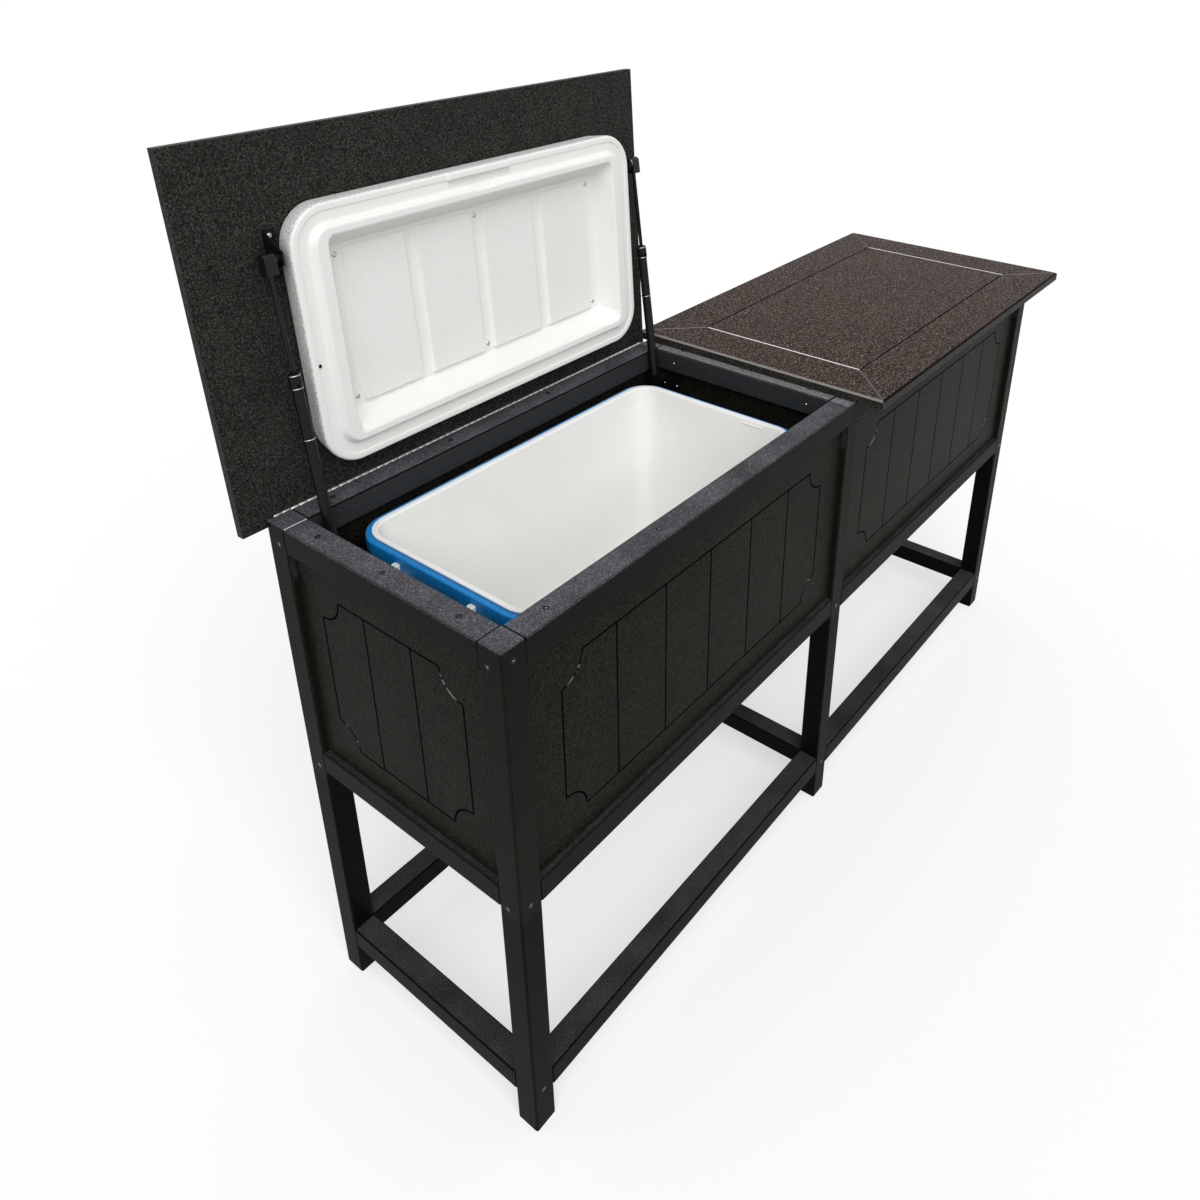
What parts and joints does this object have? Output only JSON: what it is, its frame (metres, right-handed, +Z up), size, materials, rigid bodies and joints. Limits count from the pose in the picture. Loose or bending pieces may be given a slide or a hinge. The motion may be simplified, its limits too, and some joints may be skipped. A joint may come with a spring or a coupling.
{
  "type": "patio cooler table with lids",
  "caption": "Patio table of square poly lumber with grooved panels, hinged table lids on gas struts, and a lift-out ice chest under each lid.",
  "frame": {"origin": "on the floor, at the centre of the model's footprint, midway along and across the frame", "axes": "+X to the right along the table seen from its front, +Y to the back where the lids are hinged, +Z up"},
  "size_m": [1.6512, 0.5288, 1.3321],
  "materials": {
    "lumber": "fine-grained satin",
    "sheet": "pebbled satin",
    "cooler_skin": "smooth satin",
    "cooler_white": "smooth satin",
    "strut_tube": "gloss black",
    "strut_rod": "polished",
    "bracket": "satin black",
    "hinge": "brushed",
    "screws": "bright"
  },
  "bodies": {
    "frame": {"front_left_post": "lumber", "front_middle_post": "lumber", "front_right_post": "lumber", "back_left_post": "lumber", "back_middle_post": "lumber", "back_right_post": "lumber", "front_left_top_rail": "lumber", "front_right_top_rail": "lumber", "back_left_top_rail": "lumber", "back_right_top_rail": "lumber", "left_top_rail": "lumber", "middle_top_rail": "lumber", "right_top_rail": "lumber", "front_panel_rails": "lumber", "back_panel_rails": "lumber", "cross_panel_rails": "lumber", "long_stretchers": "lumber", "cross_stretchers": "lumber", "front_left_panel": "sheet", "front_right_panel": "sheet", "back_left_panel": "sheet", "back_right_panel": "sheet", "left_panel": "sheet", "middle_panel": "sheet", "right_panel": "sheet", "cooler_floors": "sheet", "strut_frame_brackets": "bracket", "hinge_frame_leaves": "hinge", "hinge_pins": "hinge", "right_cooler_shell": "cooler_skin", "right_cooler_liner": "cooler_white", "right_cooler_handle_mounts": "cooler_white"},
    "left_cooler": {"left_cooler_shell": "cooler_skin", "left_cooler_liner": "cooler_white", "left_cooler_handle_mounts": "cooler_white"},
    "left_lid": {"left_table_lid": "sheet", "left_cooler_lid": "cooler_white", "left_cooler_lid_panel": "cooler_white", "left_hinge_lid_leaf": "hinge", "left_lid_strut_brackets": "bracket", "left_lid_screws": "screws"},
    "left_lid_left_strut_tube": {"left_lid_left_strut_tube": "strut_tube"},
    "left_lid_left_strut_rod": {"left_lid_left_strut_rod": "strut_rod"},
    "left_lid_right_strut_tube": {"left_lid_right_strut_tube": "strut_tube"},
    "left_lid_right_strut_rod": {"left_lid_right_strut_rod": "strut_rod"},
    "right_lid": {"right_table_lid": "sheet", "right_cooler_lid": "cooler_white", "right_cooler_lid_panel": "cooler_white", "right_hinge_lid_leaf": "hinge", "right_lid_strut_brackets": "bracket", "right_lid_screws": "screws"},
    "right_lid_left_strut_tube": {"right_lid_left_strut_tube": "strut_tube"},
    "right_lid_left_strut_rod": {"right_lid_left_strut_rod": "strut_rod"},
    "right_lid_right_strut_tube": {"right_lid_right_strut_tube": "strut_tube"},
    "right_lid_right_strut_rod": {"right_lid_right_strut_rod": "strut_rod"},
    "left_cooler_left_handle": {"left_cooler_left_handle": "cooler_white"},
    "left_cooler_right_handle": {"left_cooler_right_handle": "cooler_white"},
    "right_cooler_left_handle": {"right_cooler_left_handle": "cooler_white"},
    "right_cooler_right_handle": {"right_cooler_right_handle": "cooler_white"}
  },
  "joints": [
    {"name": "left_lid_hinge", "type": "hinge", "parent": "frame", "child": "left_lid", "pos_m": [-0.38735, 0.2196, 0.8491], "axis": [-1, 0, 0], "range_deg": [-93.1, 0]},
    {"name": "left_lid_left_strut_pivot", "type": "hinge", "parent": "frame", "child": "left_lid_left_strut_tube", "pos_m": [-0.73375, 0.1633, 0.799], "axis": [-1, 0, 0], "range_deg": [-92.19, 0]},
    {"name": "left_lid_left_strut_slide", "type": "slide", "parent": "left_lid_left_strut_tube", "child": "left_lid_left_strut_rod", "axis": [0, 0.1262, 0.992], "range_m": [-0.1093, 0]},
    {"name": "left_lid_right_strut_pivot", "type": "hinge", "parent": "frame", "child": "left_lid_right_strut_tube", "pos_m": [-0.04095, 0.1633, 0.799], "axis": [-1, 0, 0], "range_deg": [-92.19, 0]},
    {"name": "left_lid_right_strut_slide", "type": "slide", "parent": "left_lid_right_strut_tube", "child": "left_lid_right_strut_rod", "axis": [0, 0.1262, 0.992], "range_m": [-0.1093, 0]},
    {"name": "right_lid_hinge", "type": "hinge", "parent": "frame", "child": "right_lid", "pos_m": [0.38735, 0.2196, 0.8491], "axis": [-1, 0, 0], "range_deg": [0, 93.1]},
    {"name": "right_lid_left_strut_pivot", "type": "hinge", "parent": "frame", "child": "right_lid_left_strut_tube", "pos_m": [0.04095, 0.1633, 0.799], "axis": [-1, 0, 0], "range_deg": [0, 92.19]},
    {"name": "right_lid_left_strut_slide", "type": "slide", "parent": "right_lid_left_strut_tube", "child": "right_lid_left_strut_rod", "axis": [0, -0.9961, 0.0882], "range_m": [0, 0.1093]},
    {"name": "right_lid_right_strut_pivot", "type": "hinge", "parent": "frame", "child": "right_lid_right_strut_tube", "pos_m": [0.73375, 0.1633, 0.799], "axis": [-1, 0, 0], "range_deg": [0, 92.19]},
    {"name": "right_lid_right_strut_slide", "type": "slide", "parent": "right_lid_right_strut_tube", "child": "right_lid_right_strut_rod", "axis": [0, -0.9961, 0.0882], "range_m": [0, 0.1093]},
    {"name": "left_cooler_left_handle_pivot", "type": "hinge", "parent": "left_cooler", "child": "left_cooler_left_handle", "pos_m": [-0.70745, 0, 0.782], "axis": [0, 1, 0], "range_deg": [0, 40]},
    {"name": "left_cooler_right_handle_pivot", "type": "hinge", "parent": "left_cooler", "child": "left_cooler_right_handle", "pos_m": [-0.06725, 0, 0.782], "axis": [0, -1, 0], "range_deg": [0, 40]},
    {"name": "right_cooler_left_handle_pivot", "type": "hinge", "parent": "frame", "child": "right_cooler_left_handle", "pos_m": [0.06725, 0, 0.782], "axis": [0, 1, 0], "range_deg": [0, 40]},
    {"name": "right_cooler_right_handle_pivot", "type": "hinge", "parent": "frame", "child": "right_cooler_right_handle", "pos_m": [0.70745, 0, 0.782], "axis": [0, -1, 0], "range_deg": [0, 40]},
    {"name": "left_cooler_lift", "type": "slide", "parent": "frame", "child": "left_cooler", "axis": [0, 0, 1], "range_m": [0, 0.36]}
  ],
  "couplings": [
    {"joint": "left_lid_left_strut_pivot", "follows": "left_lid_hinge", "ratio": 0.99021},
    {"joint": "left_lid_left_strut_slide", "follows": "left_lid_hinge", "m_per_rad": 0.067263},
    {"joint": "left_lid_right_strut_pivot", "follows": "left_lid_hinge", "ratio": 0.99021},
    {"joint": "left_lid_right_strut_slide", "follows": "left_lid_hinge", "m_per_rad": 0.067263},
    {"joint": "right_lid_left_strut_pivot", "follows": "right_lid_hinge", "ratio": 0.99021},
    {"joint": "right_lid_left_strut_slide", "follows": "right_lid_hinge", "m_per_rad": 0.067263},
    {"joint": "right_lid_right_strut_pivot", "follows": "right_lid_hinge", "ratio": 0.99021},
    {"joint": "right_lid_right_strut_slide", "follows": "right_lid_hinge", "m_per_rad": 0.067263}
  ]
}
